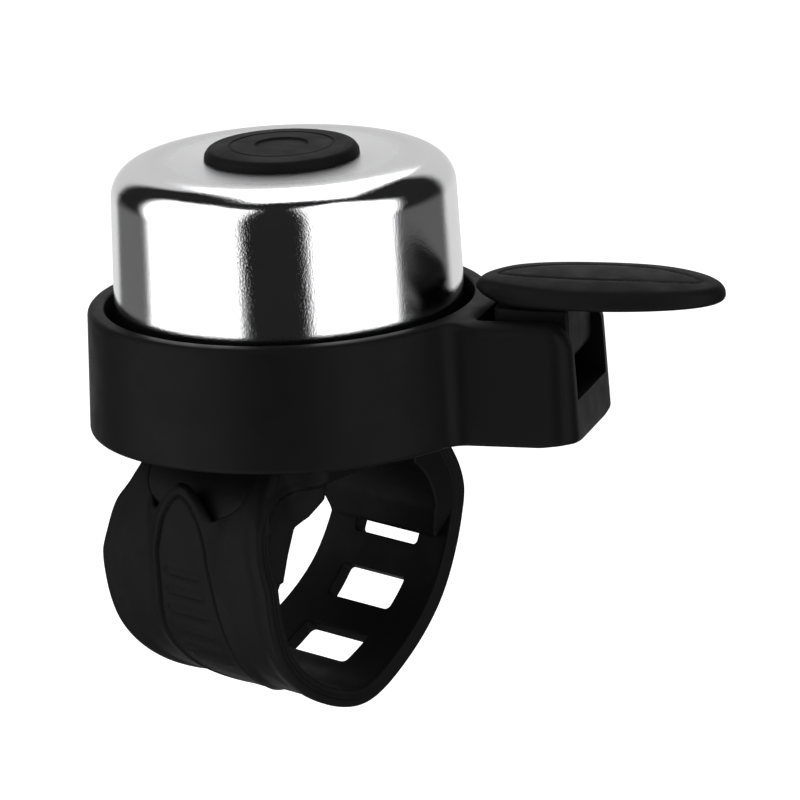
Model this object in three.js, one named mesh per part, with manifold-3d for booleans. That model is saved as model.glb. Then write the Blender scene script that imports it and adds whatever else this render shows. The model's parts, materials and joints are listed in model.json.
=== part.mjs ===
// Bicycle bell with a thumb lever, on a hook-on silicone strap.
// Millimetres, +Z up. The origin is on the handlebar's axis, which runs along +X, straight below the
// bell's axis. The bell turns on its saddle, and its lever arm stands 30 degrees off the handlebar.
import * as THREE from "three";
import { mergeVertices } from "three/addons/utils/BufferGeometryUtils.js";
import Module from "manifold-3d";

const wasm = await Module();
wasm.setup();

// ---- Driving dimensions ----
const GAP = 0.3; // clearance between pieces that touch
const BELL_Z = 18.4; // height of the housing's lower edge above the handlebar's axis
const ARM_ANGLE = THREE.MathUtils.degToRad(30); // arm's direction, from +X towards +Y

const RING_R = 25.25; // housing, outside, at its upper edge
const RING_FLARE = 0.45; // how much wider its lower edge is
const RING_INNER_R = 23.15;
const RING_SEGMENTS = 72;
const RING_H = 15.75;
const ARM_END = 38.4; // arm's end, from the bell's axis
const ARM_HALF = 9.5;
const ARM_H = 15.4;
const ARM_CORNER_R = 2.6;
const ARM_FILLET_R = 3;
const SLOT_HALF = 6.7; // slot between the arm's walls
const SLOT_START = 26;
const SLOT_END = 35.6;
const SLOT_SILL = 5.5; // height of the wall that closes the slot's end
const WINDOW_TOP = 10.8; // opening in the ring for the lever's inner arm

const DOME_R = 22; // bell, outside, at its rim
const DOME_SHOULDER_R = 21.5;
const DOME_FILLET = 4; // its shoulder is a tight arc with a flatter one above
const DOME_CROWN_R = 12;
const DOME_BLEND = 75; // angle round the shoulder where the two arcs meet, in degrees
const DOME_RIM_Z = 11.6;
const DOME_TOP_Z = 33.87;
const DOME_WALL = 0.9;
const WELL_R = 6.8; // dished seat under the cap
const WELL_DEPTH = 1.4;
const CAP_R = 9.7; // cap, at its base and at its upper edge
const CAP_TOP_R = 9.3;
const CAP_TOP_Z = 35.4;
const CAP_EDGE_R = 0.8;
const CAP_WALL = 0.55;
const CAP_SEAT = 0.3; // depth of the shallow recess that the cap's edge sits in
const SEAT_TOP = DOME_TOP_Z - WELL_DEPTH;
const POST_R = 3.5; // the post that carries the dome, and its foot
const POST_FOOT_R = 5.4;
const POST_TOP_Z = 29.9;
const DOME_BORE_R = 1.8; // bores of the dome's washers
const DOME_WASHER_T = 0.5;

const PLATE_R = RING_INNER_R - GAP;
const PLATE_Z = 0.5;
const PLATE_T = 2;
const PLATE_TOP = PLATE_Z + PLATE_T;
const BOSS_R = 6;
const BOSS_TOP = 8;

const PIN_U = 34.6; // lever's pivot, out along the arm
const PIN_Z = 11.8;
const PIN_R = 1;
const HUB_R = 2.8;
const STEM_HALF = 5.4;
const STEM_IN = 28;
const BEAM_IN = 17; // inner end of the lever's inner arm
const BEAM_HALF = 4.2;
const BEAM_Z = 4.9;
const BEAM_TOP = 7.6;
const PAD_IN = 24.5; // thumb pad, inner and outer tips
const PAD_OUT = 56;
const PAD_HALF = 8;
const PAD_POINTED = 1.05; // 1 is an ellipse, 2 has sharp tips
const PAD_Z = 16.6;
const PAD_CROWN_Z = 19.8;
const PAD_RISE = 0.9; // how far the pad's underside rises towards its outer tip

const LEAF_T = 0.5; // spring steel strip
const LEAF_HALF = 2.5;
const LEAF_U = 11.65; // its upright part
const LEAF_FOOT_Z = BEAM_TOP + GAP + LEAF_T / 2;
const HAMMER_Z = 20;
const HAMMER_R = 2.6;
const HAMMER_TIP = 17.5;
const LEAF_SCREW_U = 18.6;

const STRAP_T = 2.2;
const STRAP_HALF = 12.85; // half the band's width at the handlebar's axis
const STRAP_TAPER = 0.124; // the band narrows by this much on each side, for each mm towards its free end
const STRAP_STEPS = 56;
const HOLE_W = 11.2; // buckle holes: along the handlebar, along the band, pitch, first one from the end
const HOLE_L = 5.2;
const HOLE_PITCH = 10;
const HOLE_FIRST = 11.4;
const HOLES = 4;
const WINDOW_HALF = 9; // cut-out at the band's fixed end, either side of the tongue
const TONGUE_R = 2.5; // the tongue's rounded tip
const TONGUE_TIP_Z = 14.5;
const KNUCKLE_HALF = 8.6; // the saddle's knuckle, round the pin that holds the strap's fixed end
const KNUCKLE_R = 1.7;
const ANCHOR_Y = -14.7;
const ANCHOR_Z = 15.3;
const ANCHOR_R = 0.6;
const ANCHOR_LENGTH = 20.2;
const SADDLE_TOP = BELL_Z - 0.65;
const HOOK_ARM_HALF = 9.6; // the arm that carries the hook
const SADDLE_UNDER = 13.9;
const SWIVEL_BORE_R = 1.9; // clearance for the swivel screw
const SADDLE_CORNER_Y = -12.5; // where its corners are cut back to the strap's bevel
const LINER_HALF = 8.5;
const LINER_IN = -6.3;
const LINER_Z = 12.5;

// ---- Solids ----
const v2 = (x, y) => new THREE.Vector2(x, y);

// A closed three.js geometry as a solid that can be cut and joined.
function solid(geometry) {
  const bare = geometry.clone();
  bare.deleteAttribute("normal");
  bare.deleteAttribute("uv");
  const merged = mergeVertices(bare, 1e-4);
  return new wasm.Manifold(
    new wasm.Mesh({
      numProp: 3,
      vertProperties: new Float32Array(merged.attributes.position.array),
      triVerts: new Uint32Array(merged.index.array),
    }),
  );
}

// The solid back as a geometry with flat-shaded faces.
function geometryOf(body) {
  const mesh = body.getMesh();
  const geometry = new THREE.BufferGeometry();
  const points = new Float32Array(mesh.numVert * 3);
  for (let i = 0; i < mesh.numVert; i++) {
    points.set(mesh.vertProperties.subarray(i * mesh.numProp, i * mesh.numProp + 3), i * 3);
  }
  geometry.setAttribute("position", new THREE.BufferAttribute(points, 3));
  geometry.setIndex(new THREE.BufferAttribute(mesh.triVerts, 1));
  const flat = geometry.toNonIndexed();
  flat.computeVertexNormals();
  return flat;
}

function box(x0, x1, y0, y1, z0, z1) {
  const geometry = new THREE.BoxGeometry(x1 - x0, y1 - y0, z1 - z0);
  geometry.translate((x0 + x1) / 2, (y0 + y1) / 2, (z0 + z1) / 2);
  return geometry;
}

// A profile of [radius, height] points turned about the Z axis. It closes on itself, or on the axis.
function turned(profile, segments = 32) {
  const points = profile.map(([r, z]) => v2(r, z));
  if (profile[0][0] > 0) points.push(points[0].clone());
  const geometry = new THREE.LatheGeometry(points, segments);
  return geometry.rotateX(Math.PI / 2);
}

// A round bar along Z between two heights.
function bar(r, z0, z1, segments = 24) {
  const geometry = new THREE.CylinderGeometry(r, r, z1 - z0, segments);
  return geometry.rotateX(Math.PI / 2).translate(0, 0, (z0 + z1) / 2);
}

// A round bar along Y, between y0 and y1.
function crossBar(r, x, z, y0, y1, segments = 24) {
  const geometry = new THREE.CylinderGeometry(r, r, y1 - y0, segments);
  return geometry.translate(x, (y0 + y1) / 2, z);
}

// An outline in plan, raised between two heights.
function plan(shape, z0, z1, curveSegments = 12) {
  const geometry = new THREE.ExtrudeGeometry(shape, { depth: z1 - z0, bevelEnabled: false, curveSegments });
  return geometry.translate(0, 0, z0);
}

// An outline in the X-Z plane, thickened along Y between y0 and y1.
function sideOn(shape, y0, y1, curveSegments = 12) {
  const geometry = new THREE.ExtrudeGeometry(shape, { depth: y1 - y0, bevelEnabled: false, curveSegments });
  return geometry.rotateX(Math.PI / 2).translate(0, y1, 0);
}

// An outline in the Y-Z plane, thickened along X between x0 and x1.
function endOn(shape, x0, x1, curveSegments = 12) {
  const geometry = new THREE.ExtrudeGeometry(shape, { depth: x1 - x0, bevelEnabled: false, curveSegments });
  const axes = new THREE.Matrix4().makeBasis(
    new THREE.Vector3(0, 1, 0),
    new THREE.Vector3(0, 0, 1),
    new THREE.Vector3(1, 0, 0),
  );
  return geometry.applyMatrix4(axes).translate(x0, 0, 0);
}

const outline = (points) => new THREE.Shape(points.map(([x, y]) => v2(x, y)));

// Points of an arc about (x, y), from one angle to another in degrees.
function arc(x, y, r, from, to, steps = 6) {
  return Array.from({ length: steps + 1 }, (_, i) => {
    const angle = THREE.MathUtils.degToRad(from + ((to - from) * i) / steps);
    return [x + r * Math.cos(angle), y + r * Math.sin(angle)];
  });
}

// ---- Materials ----
const COLOURS = {
  silicone: { color: 0x161616, roughness: 0.62, metalness: 0 },
  plastic: { color: 0x1b1b1c, roughness: 0.5, metalness: 0 },
  chrome: { color: 0xd9d9dc, roughness: 0.08, metalness: 1 },
  steel: { color: 0xa9abae, roughness: 0.3, metalness: 1 },
  springSteel: { color: 0x7d8086, roughness: 0.35, metalness: 1 },
  brass: { color: 0xb8924a, roughness: 0.35, metalness: 1 },
  rubber: { color: 0x222222, roughness: 0.85, metalness: 0 },
  nylon: { color: 0xcfcabb, roughness: 0.6, metalness: 0 },
};

function piece(name, geometry, material) {
  const mesh = new THREE.Mesh(geometry, new THREE.MeshStandardMaterial(COLOURS[material]));
  mesh.name = name;
  return mesh;
}

// ---- Strap mount: strap, saddle and what joins them ----

// Outside of the band, end on, from the fixed end round under the handlebar to the free end. Both ends
// run on above the saddle's top, where the band is cut off level.
const bandLine = new THREE.SplineCurve([
  v2(-12.4, 20.2),
  v2(-18.4, 11.9),
  v2(-20.1, 3.4),
  v2(-18.1, -6.2),
  v2(-11.7, -12.8),
  v2(-2.6, -15.8),
  v2(6, -12.5),
  v2(13.5, -6),
  v2(18, 3.2),
  v2(18.1, 9.8),
  v2(11.6, 20.2),
]);
const BAND_LENGTH = bandLine.getLength();

// A point of the band at a share of its length, and a depth below its outer surface.
function bandPoint(share, depth) {
  const point = bandLine.getPointAt(share);
  const tangent = bandLine.getTangentAt(share);
  return [point.x - tangent.y * depth, point.y + tangent.x * depth];
}

function bandPoints(from, to, depth, steps) {
  return Array.from({ length: steps + 1 }, (_, i) => bandPoint(from + ((to - from) * i) / steps, depth));
}

// The plan that the tapering band is cut to, drawn in by a margin.
function bandPlan(margin) {
  const half = (y) => STRAP_HALF - STRAP_TAPER * y - margin;
  const far = 26;
  return outline([
    [half(-far), -far],
    [half(far), far],
    [-half(far), far],
    [-half(-far), -far],
  ]);
}

// Wedges that bevel the upper corners of the fixed end up to a given y, moved in by a margin.
function cornerWedges(margin, toY) {
  return [-1, 1].map((side) => {
    const corner = outline([
      [side * (10.9 - margin), 18.5],
      [side * (11.6 - margin), 14.5],
      [side * (13.2 - margin), 10.2],
      [side * (14.2 - margin), 6.5],
      [side * (15.3 - margin), 3.5],
      [side * 18, 3.5],
      [side * 18, 18.5],
    ]);
    return solid(sideOn(corner, -24, toY));
  });
}

// A box that stands square on the band: half sizes across it and along it, and a range of depths.
function boxOnBand(share, halfAcross, along0, along1, depth0, depth1) {
  const point = bandLine.getPointAt(share);
  const tangent = bandLine.getTangentAt(share);
  const geometry = box(-halfAcross, halfAcross, along0, along1, depth0, depth1);
  const axes = new THREE.Matrix4().makeBasis(
    new THREE.Vector3(1, 0, 0),
    new THREE.Vector3(0, tangent.x, tangent.y),
    new THREE.Vector3(0, -tangent.y, tangent.x),
  );
  return geometry.applyMatrix4(axes).translate(0, point.x, point.y);
}

const holeShare = (i) => 1 - (HOLE_FIRST + i * HOLE_PITCH) / BAND_LENGTH;

function strap() {
  const profile = [...bandPoints(0, 1, 0, STRAP_STEPS), ...bandPoints(1, 0, STRAP_T, STRAP_STEPS)];
  let body = solid(endOn(outline(profile), -18, 18));
  body = body.intersect(solid(plan(bandPlan(0), -30, SADDLE_TOP)));
  // Cut-out at the fixed end: two notches, with room between them for the tongue.
  const notch = outline([
    [-WINDOW_HALF, 20],
    [-WINDOW_HALF, 14.8],
    [-8.4, 13],
    [-7, 11.6],
    [-5.2, 10.3],
    [5.2, 10.3],
    [7, 11.6],
    [8.4, 13],
    [WINDOW_HALF, 14.8],
    [WINDOW_HALF, 20],
  ]);
  body = body.subtract(solid(sideOn(notch, -24, -8)));
  // The tongue stands straight up out of the band, and ends in a rounded tip.
  const upright = outline([
    [-17.9, 6],
    [-17.6, TONGUE_TIP_Z + 0.5],
    [-19.6, TONGUE_TIP_Z + 0.5],
    [-19.9, 10.3],
    [-20.1, 6],
  ]);
  const tip = outline([
    [5.2, 7],
    [5.2, 10.3],
    [3.5, 12.2],
    ...arc(0, TONGUE_TIP_Z - TONGUE_R, TONGUE_R, 30, 150, 8),
    [-3.5, 12.2],
    [-5.2, 10.3],
    [-5.2, 7],
  ]);
  body = body.add(solid(endOn(upright, -6, 6)).intersect(solid(sideOn(tip, -24, -14))));
  for (const wedge of cornerWedges(0, -8)) body = body.subtract(wedge);
  for (let i = 0; i < HOLES; i++) {
    body = body.subtract(solid(boxOnBand(holeShare(i), HOLE_W / 2, -HOLE_L / 2, HOLE_L / 2, -3, 6)));
  }
  const pinHole = new THREE.CylinderGeometry(ANCHOR_R + GAP, ANCHOR_R + GAP, 40, 16).rotateZ(Math.PI / 2);
  return body.subtract(solid(pinHole.translate(0, ANCHOR_Y, ANCHOR_Z)));
}

function saddle() {
  const skin = STRAP_T + GAP;
  const profile = outline([
    [-10.4, SADDLE_TOP],
    ...bandPoints(0.05, 0.2, skin, 8),
    [-14.5, 6.2],
    [-11.5, 9.8],
    [-10.1, 10.1],
    [LINER_IN - GAP, 11.9],
    [LINER_IN - GAP, SADDLE_UNDER],
    [9, SADDLE_UNDER],
    ...arc(3.9, 5.2, 9, 55, 0, 4),
    [13.9, 1.1],
    ...bandPoints(0.785, 0.95, skin, 10),
    [9.4, SADDLE_TOP],
  ]);
  let body = solid(endOn(profile, -18, 18)).intersect(solid(plan(bandPlan(0.3), -30, 30)));
  for (const wedge of cornerWedges(0.3, SADDLE_CORNER_Y)) body = body.subtract(wedge);
  for (const side of [-1, 1]) {
    const corner = outline([
      [side * 13.3, -7],
      [side * 10.6, SADDLE_CORNER_Y],
      [side * 18, SADDLE_CORNER_Y],
      [side * 18, -7],
    ]);
    body = body.subtract(solid(plan(corner, 6, 30)));
  }
  // The arm that carries the hook is narrower than the band.
  for (const side of [-1, 1]) {
    const [x0, x1] = side < 0 ? [-20, -HOOK_ARM_HALF] : [HOOK_ARM_HALF, 20];
    body = body.subtract(solid(box(x0, x1, 9.4, 20, -10, 12.6)));
  }
  // Knuckle round the strap's pin.
  const knuckle = box(-KNUCKLE_HALF, KNUCKLE_HALF, ANCHOR_Y, -10, ANCHOR_Z - KNUCKLE_R, ANCHOR_Z + KNUCKLE_R);
  const eye = new THREE.CylinderGeometry(KNUCKLE_R, KNUCKLE_R, 2 * KNUCKLE_HALF, 24).rotateZ(Math.PI / 2);
  body = body.add(solid(knuckle)).add(solid(eye.translate(0, ANCHOR_Y, ANCHOR_Z)));
  const pinHole = new THREE.CylinderGeometry(ANCHOR_R + GAP, ANCHOR_R + GAP, 40, 16).rotateZ(Math.PI / 2);
  body = body.subtract(solid(pinHole.translate(0, ANCHOR_Y, ANCHOR_Z)));
  // Hook through the first buckle hole, with its lip turned up towards the band's free end.
  const hook = HOLE_L / 2 - 0.5;
  body = body.add(solid(boxOnBand(holeShare(0), HOLE_W / 2 - 0.8, -hook, hook, -1.8, skin + 1)));
  body = body.add(solid(boxOnBand(holeShare(0), HOLE_W / 2 - 0.8, -hook, 4.4, -1.8, -0.6)));
  // Pocket and hole for the swivel screw.
  body = body.subtract(solid(bar(4.4, 0, 16.2, 32)));
  return body.subtract(solid(bar(SWIVEL_BORE_R, 0, 30)));
}

function gripPad() {
  const body = solid(box(-LINER_HALF, LINER_HALF, LINER_IN, 8.6, LINER_Z, SADDLE_UNDER - GAP));
  return body.subtract(solid(bar(3, 0, 30, 32)));
}

const strapMount = new THREE.Group();
const anchorPin = new THREE.CylinderGeometry(ANCHOR_R, ANCHOR_R, ANCHOR_LENGTH, 16).rotateZ(Math.PI / 2);
strapMount.add(
  piece("strap", geometryOf(strap()), "silicone"),
  piece("saddle", geometryOf(saddle()), "plastic"),
  piece("grip_pad", geometryOf(gripPad()), "rubber"),
  piece("anchor_pin", anchorPin.translate(0, ANCHOR_Y, ANCHOR_Z), "steel"),
);
strapMount.add(
  piece(
    "wave_washer",
    turned([
      [SWIVEL_BORE_R, 15.5],
      [3.6, 15.5],
      [3.6, 15.9],
      [SWIVEL_BORE_R, 15.9],
    ]),
    "springSteel",
  ),
  piece(
    "friction_disc",
    turned([
      [SWIVEL_BORE_R, SADDLE_TOP + GAP],
      [9, SADDLE_TOP + GAP],
      [9, BELL_Z + PLATE_Z - GAP],
      [SWIVEL_BORE_R, BELL_Z + PLATE_Z - GAP],
    ]),
    "nylon",
  ),
);

// ---- Bell: housing, dome and their fastenings. X runs out along the arm, Z is the bell's axis ----

const SCREW_ANGLES = [75, 180, 285].map(THREE.MathUtils.degToRad);
const SCREW_RADIUS = 21.1;
const SCREW_R = 0.85;
const screwPlaces = SCREW_ANGLES.map((a) => [SCREW_RADIUS * Math.cos(a), SCREW_RADIUS * Math.sin(a)]);

// Plan of the arm, with a hollow fillet where each side meets the ring.
function armPlan() {
  const reach = RING_R + ARM_FILLET_R;
  const filletY = ARM_HALF + ARM_FILLET_R;
  const filletX = Math.sqrt(reach * reach - filletY * filletY);
  const turn = THREE.MathUtils.radToDeg(Math.atan2(filletY, filletX));
  const cornerX = ARM_END - ARM_CORNER_R;
  const cornerY = ARM_HALF - ARM_CORNER_R;
  return outline([
    ...arc(filletX, -filletY, ARM_FILLET_R, 180 - turn, 90),
    ...arc(cornerX, -cornerY, ARM_CORNER_R, -90, 0),
    ...arc(cornerX, cornerY, ARM_CORNER_R, 0, 90),
    ...arc(filletX, filletY, ARM_FILLET_R, -90, -180 + turn),
  ]);
}

function ringHousing() {
  const foot = RING_R + RING_FLARE;
  const ring = turned(
    [
      [RING_INNER_R, 0],
      ...arc(foot - 1, 1, 1, -90, 0, 4),
      ...arc(RING_R - 1, RING_H - 1, 1, 0, 90, 4),
      [RING_INNER_R, RING_H],
    ],
    RING_SEGMENTS,
  );
  let body = solid(ring).add(solid(plan(armPlan(), 0, ARM_H)));
  body = body.subtract(solid(bar(RING_INNER_R, -1, 20, RING_SEGMENTS)));
  body = body.subtract(solid(box(SLOT_START, SLOT_END, -SLOT_HALF, SLOT_HALF, -1, 20)));
  body = body.subtract(solid(box(SLOT_END - 1, ARM_END + 2, -SLOT_HALF, SLOT_HALF, SLOT_SILL, 20)));
  body = body.subtract(solid(box(15, SLOT_START + 1, -SLOT_HALF, SLOT_HALF, -1, WINDOW_TOP)));
  // Blind notches that take the lever's pin from below.
  const notch = PIN_R + GAP;
  for (const [y0, y1] of [
    [-8.4, -6.5],
    [6.5, 8.4],
  ]) {
    body = body.subtract(solid(box(PIN_U - notch, PIN_U + notch, y0, y1, -1, PIN_Z)));
    body = body.subtract(solid(crossBar(notch, PIN_U, PIN_Z, y0, y1)));
  }
  for (const [x, y] of screwPlaces) {
    body = body.add(solid(bar(2.3, PLATE_TOP + GAP, 8.6).translate(x, y, 0)));
    body = body.subtract(solid(bar(SCREW_R + GAP, 0, 8).translate(x, y, 0)));
  }
  return body;
}

function basePlate() {
  const half = SLOT_HALF - GAP;
  const end = SLOT_END - GAP;
  let body = solid(bar(PLATE_R, PLATE_Z, PLATE_TOP, 60));
  body = body.add(solid(box(15, end, -half, half, PLATE_Z, PLATE_TOP)));
  body = body.add(solid(bar(BOSS_R, PLATE_TOP - 0.5, BOSS_TOP, 36)));
  // Posts that hold the lever's pin up in its notches.
  body = body.add(solid(box(PIN_U - 1, end, -8.1, 8.1, PLATE_Z, PLATE_TOP)));
  for (const [y0, y1] of [
    [-8.1, -7],
    [7, 8.1],
  ]) {
    body = body.add(solid(box(PIN_U - 1, end, y0, y1, PLATE_Z, PIN_Z - PIN_R - GAP)));
  }
  for (const [x, y] of screwPlaces) {
    body = body.subtract(solid(bar(SCREW_R + GAP, -1, 5).translate(x, y, 0)));
    body = body.subtract(solid(bar(2.2, -1, 1.6).translate(x, y, 0)));
  }
  body = body.subtract(solid(bar(2.9, -1, 4.3)));
  body = body.subtract(solid(bar(SWIVEL_BORE_R, 0, 20)));
  return body.subtract(solid(bar(2.6, 4.8, 20)));
}

// A turned screw: a domed head and a plain shank, hanging down from z = 0.
function screw(headR, headH, shankR, length, segments = 20) {
  return turned(
    [
      [0, -length],
      [shankR, -length],
      [shankR, 0],
      [headR, 0],
      [headR, headH * 0.6],
      [headR * 0.75, headH],
      [0, headH],
    ],
    segments,
  );
}

// The dome's shoulder from its wall up to its flat top, at a depth below the outer surface.
function domeShoulder(depth) {
  const blend = THREE.MathUtils.degToRad(DOME_BLEND);
  const step = DOME_CROWN_R - DOME_FILLET;
  const flatR = DOME_SHOULDER_R - DOME_FILLET - step * Math.cos(blend);
  const crownZ = DOME_TOP_Z - DOME_CROWN_R;
  const filletZ = crownZ + step * Math.sin(blend);
  return [
    ...arc(DOME_SHOULDER_R - DOME_FILLET, filletZ, DOME_FILLET - depth, 0, DOME_BLEND, 4),
    ...arc(flatR, crownZ, DOME_CROWN_R - depth, DOME_BLEND, 90, 2).slice(1),
  ];
}

function dome() {
  const inner = DOME_TOP_Z - DOME_WALL;
  return turned(
    [
      [DOME_R - DOME_WALL, DOME_RIM_Z],
      [DOME_R, DOME_RIM_Z],
      ...domeShoulder(0),
      [CAP_R + 0.6, DOME_TOP_Z],
      [CAP_R + 0.2, DOME_TOP_Z - CAP_SEAT],
      [WELL_R + 0.6, DOME_TOP_Z - CAP_SEAT],
      [WELL_R, DOME_TOP_Z - WELL_DEPTH],
      [2, DOME_TOP_Z - WELL_DEPTH],
      [2, inner - WELL_DEPTH],
      [WELL_R + 0.3, inner - WELL_DEPTH],
      [WELL_R + 0.9, inner - CAP_SEAT],
      [CAP_R + 0.4, inner - CAP_SEAT],
      [CAP_R + 0.8, inner],
      ...domeShoulder(DOME_WALL).reverse(),
    ],
    60,
  );
}

function domePost() {
  return turned(
    [
      [0, 5.1],
      [2.3, 5.1],
      [2.3, BOSS_TOP + GAP],
      [POST_FOOT_R, BOSS_TOP + GAP],
      [POST_FOOT_R, BOSS_TOP + GAP + 1.2],
      [POST_R, BOSS_TOP + GAP + 1.2],
      [POST_R, POST_TOP_Z],
      [1.75, POST_TOP_Z],
      [1.75, 22],
      [0, 22],
    ],
    32,
  );
}

// Push-in cap: its skirt reaches down into the dome's well, round the screw's head.
function domeCap() {
  const base = DOME_TOP_Z - CAP_SEAT + GAP;
  const edgeZ = CAP_TOP_Z - CAP_EDGE_R;
  const skirtZ = DOME_TOP_Z - WELL_DEPTH + GAP;
  return turned(
    [
      [0, CAP_TOP_Z - CAP_WALL],
      [5.4, CAP_TOP_Z - CAP_WALL],
      [5.4, skirtZ],
      [6.3, skirtZ],
      [6.3, base],
      [CAP_R, base],
      ...arc(CAP_TOP_R - CAP_EDGE_R, edgeZ, CAP_EDGE_R, 0, 90, 4),
      [0, CAP_TOP_Z],
    ],
    40,
  );
}

// Torsion spring round the pin: both legs point out along the arm, and press the lever's outer end up.
class TorsionSpring extends THREE.Curve {
  constructor(meanR, pitch, turns) {
    super();
    Object.assign(this, { meanR, pitch, turns });
    this.foot = new THREE.Vector3(PIN_U + 0.3, -pitch * 1.5, PLATE_TOP + 0.6);
    this.tip = new THREE.Vector3(PIN_U + 1.8, pitch * 1.5, PIN_Z + meanR);
  }

  coil(t) {
    const angle = -Math.PI / 2 - t * this.turns * 2 * Math.PI;
    const y = (t - 0.5) * this.pitch * this.turns;
    return new THREE.Vector3(PIN_U + this.meanR * Math.cos(angle), y, PIN_Z + this.meanR * Math.sin(angle));
  }

  getPoint(t) {
    const legs = 0.14;
    if (t < legs) return this.foot.clone().lerp(this.coil(0), t / legs);
    if (t > 1 - legs) return this.coil(1).lerp(this.tip, (t - 1 + legs) / legs);
    return this.coil((t - legs) / (1 - 2 * legs));
  }
}

function returnSpring() {
  const wire = new THREE.Shape().absarc(0, 0, 0.25, 0, 2 * Math.PI);
  const path = new TorsionSpring(1.55, 0.85, 2.5);
  const sweep = { steps: 44, curveSegments: 3, bevelEnabled: false, extrudePath: path };
  return new THREE.ExtrudeGeometry(wire, sweep);
}

const bell = new THREE.Group();
bell.position.z = BELL_Z;
bell.rotation.z = ARM_ANGLE;
bell.add(
  piece("ring_housing", geometryOf(ringHousing()), "plastic"),
  piece("base_plate", geometryOf(basePlate()), "plastic"),
  piece("dome", dome(), "chrome"),
  piece("dome_post", domePost(), "steel"),
  piece("dome_cap", domeCap(), "silicone"),
  piece("dome_screw", screw(3.2, 0.9, 1.45, 9).translate(0, 0, SEAT_TOP + DOME_WASHER_T + 2 * GAP), "steel"),
  piece("lever_pin", crossBar(PIN_R, PIN_U, PIN_Z, -8.1, 8.1), "steel"),
  piece("return_spring", returnSpring(), "springSteel"),
  piece("rest_bumper", bar(1.9, PLATE_TOP + GAP, BEAM_Z - GAP, 20).translate(19.4, 0, 0), "rubber"),
  piece(
    "isolator_washer",
    turned([
      [DOME_BORE_R, POST_TOP_Z + GAP],
      [5.2, POST_TOP_Z + GAP],
      [5.2, SEAT_TOP - DOME_WALL - GAP],
      [DOME_BORE_R, SEAT_TOP - DOME_WALL - GAP],
    ]),
    "rubber",
  ),
  piece(
    "dome_washer",
    turned([
      [DOME_BORE_R, SEAT_TOP + GAP],
      [4.8, SEAT_TOP + GAP],
      [4.8, SEAT_TOP + GAP + DOME_WASHER_T],
      [DOME_BORE_R, SEAT_TOP + GAP + DOME_WASHER_T],
    ]),
    "steel",
  ),
  piece(
    "swivel_insert",
    turned([
      [1.75, PLATE_Z + 0.1],
      [2.6, PLATE_Z + 0.1],
      [2.6, 4],
      [1.75, 4],
    ]),
    "brass",
  ),
  piece("swivel_screw", screw(3.6, 1.3, 1.45, 6.9).rotateX(Math.PI).translate(0, 0, -3.2), "steel"),
);
screwPlaces.forEach(([x, y], i) => {
  const geometry = screw(1.9, 1, SCREW_R, 5.9, 16).rotateX(Math.PI);
  bell.add(piece(`base_screw_${i + 1}`, geometry.translate(x, y, 1.3), "steel"));
});

// ---- Lever: turns on its pin when the thumb pad is pressed ----

// Pointed oval in plan, drawn in by a margin.
function padPlan(margin) {
  const half = (PAD_OUT - PAD_IN) / 2 - margin;
  const wide = PAD_HALF - margin;
  const middle = (PAD_OUT + PAD_IN) / 2;
  const steps = 24;
  return outline(
    Array.from({ length: steps }, (_, i) => {
      const t = (2 * Math.PI * i) / steps;
      const along = Math.cos(t);
      const across = Math.sign(Math.sin(t)) * Math.abs(Math.sin(t)) ** PAD_POINTED;
      return [middle + half * along, wide * across];
    }),
  );
}

// Wedge below the pad's underside, which rises towards the outer tip; lowered by a depth.
function underPad(depth) {
  const z = PAD_Z - depth;
  const wedge = outline([
    [PAD_OUT + 2, z - 2],
    [PAD_OUT + 2, z + PAD_RISE],
    [PAD_OUT, z + PAD_RISE],
    [PIN_U + HUB_R + 1.5, z],
    [PIN_U + HUB_R + 1.5, z - 2],
  ]);
  return solid(sideOn(wedge, -10, 10));
}

function leverBody() {
  const end = PIN_U + HUB_R;
  const profile = outline([
    [STEM_IN, PAD_Z],
    [STEM_IN, BEAM_TOP],
    [BEAM_IN, BEAM_TOP],
    [BEAM_IN, BEAM_Z],
    [30.4, BEAM_Z],
    [31.8, BEAM_Z + 1.4],
    ...arc(PIN_U, PIN_Z, HUB_R, 180, 360, 10),
    [end, PAD_Z],
  ]);
  let body = solid(sideOn(profile, -STEM_HALF, STEM_HALF));
  // The inner arm is narrower than the stem.
  for (const side of [-1, 1]) {
    const [y0, y1] = side < 0 ? [-7, -BEAM_HALF] : [BEAM_HALF, 7];
    body = body.subtract(solid(box(10, STEM_IN - 0.6, y0, y1, 0, 12)));
  }
  const seat = solid(plan(padPlan(1.9), PAD_Z - 0.4, PAD_Z + 1.1));
  body = body.add(seat.subtract(underPad(0.4)));
  body = body.subtract(solid(crossBar(PIN_R + 0.09, PIN_U, PIN_Z, -9, 9)));
  // Room for the return spring and its legs.
  body = body.subtract(solid(crossBar(2.1, PIN_U, PIN_Z, -2.4, 2.4)));
  body = body.subtract(solid(box(PIN_U - 2.1, PIN_U + 2.1, -2.4, 2.4, 3, PIN_Z)));
  body = body.subtract(solid(box(PIN_U, PIN_U + 2.1, -2.4, 2.4, PIN_Z, PIN_Z + 2.1)));
  return body.subtract(solid(bar(1.1, 0, BEAM_TOP + 1, 16).translate(LEAF_SCREW_U, 0, 0)));
}

function thumbPad() {
  const crown = new THREE.Shape();
  crown.moveTo(PAD_IN - 1, PAD_Z);
  crown.lineTo(PAD_OUT + 1, PAD_Z);
  crown.lineTo(PAD_OUT + 1, PAD_Z + 1.1);
  crown.quadraticCurveTo(PAD_OUT - 14, PAD_CROWN_Z + 0.6, PAD_IN - 1, PAD_Z + 1.7);
  const rim = solid(plan(padPlan(0), PAD_Z, PAD_CROWN_Z + 1)).intersect(solid(sideOn(crown, -10, 10)));
  const body = rim.subtract(solid(plan(padPlan(1.6), PAD_Z - 1, PAD_Z + 1.4)));
  return body.subtract(underPad(0));
}

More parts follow.
